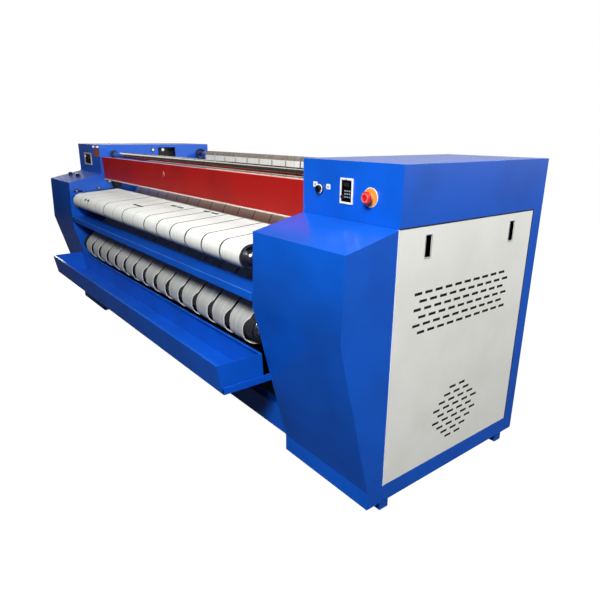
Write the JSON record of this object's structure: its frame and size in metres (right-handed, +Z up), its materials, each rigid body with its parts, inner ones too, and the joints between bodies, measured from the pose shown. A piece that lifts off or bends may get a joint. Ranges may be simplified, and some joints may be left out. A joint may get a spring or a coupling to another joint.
{
  "type": "flatwork ironer",
  "caption": "Flatwork ironer: a heated drum between two end cabinets, fed by canvas belts, with endless ironing belts that bring the linen back out to a front tray.",
  "frame": {"origin": "on the floor, at the middle of the whole machine's box", "axes": "+X along the drum towards the drive cabinet, -Y towards the operator, +Z up"},
  "size_m": [3.556, 1.352, 1.349],
  "materials": {
    "blue_paint": "gloss powder coat",
    "panel_paint": "satin powder coat",
    "red_paint": "satin powder coat",
    "feed_canvas": "woven canvas",
    "ironing_felt": "needled felt belt",
    "polished_drum": "ground and polished",
    "roller_steel": "turned",
    "plain_steel": "as rolled",
    "zinc_plate": "zinc plated",
    "bearing_iron": "cast, painted dark",
    "pulley_alloy": "turned",
    "belt_rubber": "moulded",
    "motor_paint": "grey enamel",
    "inverter_plastic": "moulded",
    "white_plastic": "moulded",
    "black_plastic": "moulded",
    "grey_plastic": "moulded",
    "stop_red": "moulded",
    "stop_amber": "moulded",
    "dark_steel": "dark paint"
  },
  "bodies": {
    "root": {"back_panel": "blue_paint", "catch_pan": "dark_steel", "console_cover_left": "blue_paint", "console_cover_right": "blue_paint", "controller_face": "black_plastic", "controller_frame": "grey_plastic", "drive_belts": "belt_rubber", "drum_bearings": "bearing_iron", "duct_boxes": "dark_steel", "estop_base": "stop_amber", "feed_bearings": "bearing_iron", "feed_bed": "plain_steel", "feed_belts": "feed_canvas", "front_stay_tube": "polished_drum", "gearmotor": "motor_paint", "gearmotor_bracket": "dark_steel", "guard_pivots": "zinc_plate", "guard_switch": "black_plastic", "heater_core": "plain_steel", "heater_posts": "plain_steel", "housing_left": "blue_paint", "housing_right": "blue_paint", "indicator_lamps": "white_plastic", "inverter": "inverter_plastic", "ironing_belts": "ironing_felt", "keypad_frame": "white_plastic", "keypad_panel": "black_plastic", "levelling_feet": "blue_paint", "linen_tray": "blue_paint", "lower_beams": "blue_paint", "plate_bolts": "zinc_plate", "plinths": "blue_paint", "rear_covers": "blue_paint", "roller_bearings": "bearing_iron", "side_plate_left": "blue_paint", "side_plate_right": "blue_paint", "switch_bases": "black_plastic", "tray_arms": "blue_paint", "tube_collars": "dark_steel", "upper_beam": "blue_paint"},
    "drum": {"drum_shell": "polished_drum", "drum_ends": "plain_steel", "drum_pulleys": "pulley_alloy"},
    "feed_front": {"feed_roller_front": "roller_steel"},
    "feed_rear": {"feed_roller_rear": "roller_steel"},
    "nip": {"nip_roller": "roller_steel"},
    "return": {"return_roller": "roller_steel"},
    "rear_top": {"rear_top_roller": "roller_steel"},
    "rear_lower": {"rear_lower_roller": "roller_steel"},
    "drive": {"drive_pulley": "pulley_alloy"},
    "guard": {"finger_guard": "red_paint"},
    "stop_button": {"estop_button": "stop_red"},
    "selector": {"selector_knob": "black_plastic"},
    "rotary_1": {"rotary_knob_1": "black_plastic"},
    "rotary_2": {"rotary_knob_2": "black_plastic"},
    "keypad_dial": {"keypad_knob": "black_plastic"},
    "panel_left": {"access_panel_left": "panel_paint"},
    "panel_right": {"access_panel_right": "panel_paint"}
  },
  "joints": [
    {"name": "drum_spin", "type": "hinge", "parent": "root", "child": "drum", "pos_m": [0, 0.254, 0.865], "axis": [1, 0, 0], "continuous": true},
    {"name": "feed_front_spin", "type": "hinge", "parent": "root", "child": "feed_front", "pos_m": [0, -0.451, 0.955], "axis": [1, 0, 0], "continuous": true},
    {"name": "feed_rear_spin", "type": "hinge", "parent": "root", "child": "feed_rear", "pos_m": [0, -0.17006, 0.99869], "axis": [1, 0, 0], "continuous": true},
    {"name": "nip_spin", "type": "hinge", "parent": "root", "child": "nip", "pos_m": [0, -0.09606, 0.96869], "axis": [1, 0, 0], "continuous": true},
    {"name": "return_spin", "type": "hinge", "parent": "root", "child": "return", "pos_m": [0, -0.396, 0.628], "axis": [1, 0, 0], "continuous": true},
    {"name": "rear_top_spin", "type": "hinge", "parent": "root", "child": "rear_top", "pos_m": [0, 0.604, 1.267], "axis": [1, 0, 0], "continuous": true},
    {"name": "rear_lower_spin", "type": "hinge", "parent": "root", "child": "rear_lower", "pos_m": [0, 0.604, 0.52], "axis": [1, 0, 0], "continuous": true},
    {"name": "drive_spin", "type": "hinge", "parent": "root", "child": "drive", "pos_m": [0, 0.074, 0.33], "axis": [1, 0, 0], "continuous": true},
    {"name": "guard_swing", "type": "hinge", "parent": "root", "child": "guard", "pos_m": [0, -0.226, 1.247], "axis": [1, 0, 0], "range_deg": [0, 12], "stiffness_Nm_per_rad": 4, "springref_deg": -11.46},
    {"name": "stop_press", "type": "slide", "parent": "root", "child": "stop_button", "axis": [0, 1, 0], "range_m": [0, 0.005]},
    {"name": "selector_turn", "type": "hinge", "parent": "root", "child": "selector", "pos_m": [1.357, -0.248, 1.237], "axis": [0, -1, 0], "range_deg": [-45, 45]},
    {"name": "rotary_1_turn", "type": "hinge", "parent": "root", "child": "rotary_1", "pos_m": [-1.66, -0.366, 1.10783], "axis": [0, -0.2165, 0.9763], "range_deg": [-45, 45]},
    {"name": "rotary_2_turn", "type": "hinge", "parent": "root", "child": "rotary_2", "pos_m": [-1.465, -0.366, 1.10783], "axis": [0, -0.2165, 0.9763], "range_deg": [-45, 45]},
    {"name": "keypad_dial_turn", "type": "hinge", "parent": "root", "child": "keypad_dial", "pos_m": [1.491, -0.248, 1.2195], "axis": [0, -1, 0], "range_deg": [-140, 140]},
    {"name": "panel_left_pull", "type": "slide", "parent": "root", "child": "panel_left", "axis": [-1, 0, 0], "range_m": [0, 0.3]},
    {"name": "panel_right_pull", "type": "slide", "parent": "root", "child": "panel_right", "axis": [1, 0, 0], "range_m": [0, 0.3]}
  ],
  "couplings": [
    {"joint": "feed_front_spin", "follows": "drum_spin", "ratio": 5.8479},
    {"joint": "feed_rear_spin", "follows": "drum_spin", "ratio": 11.194},
    {"joint": "nip_spin", "follows": "drum_spin", "ratio": -8.1046},
    {"joint": "return_spin", "follows": "drum_spin", "ratio": -4.5596},
    {"joint": "rear_top_spin", "follows": "drum_spin", "ratio": -9.9769},
    {"joint": "rear_lower_spin", "follows": "drum_spin", "ratio": -9.9769},
    {"joint": "drive_spin", "follows": "drum_spin", "ratio": 3.1462}
  ]
}
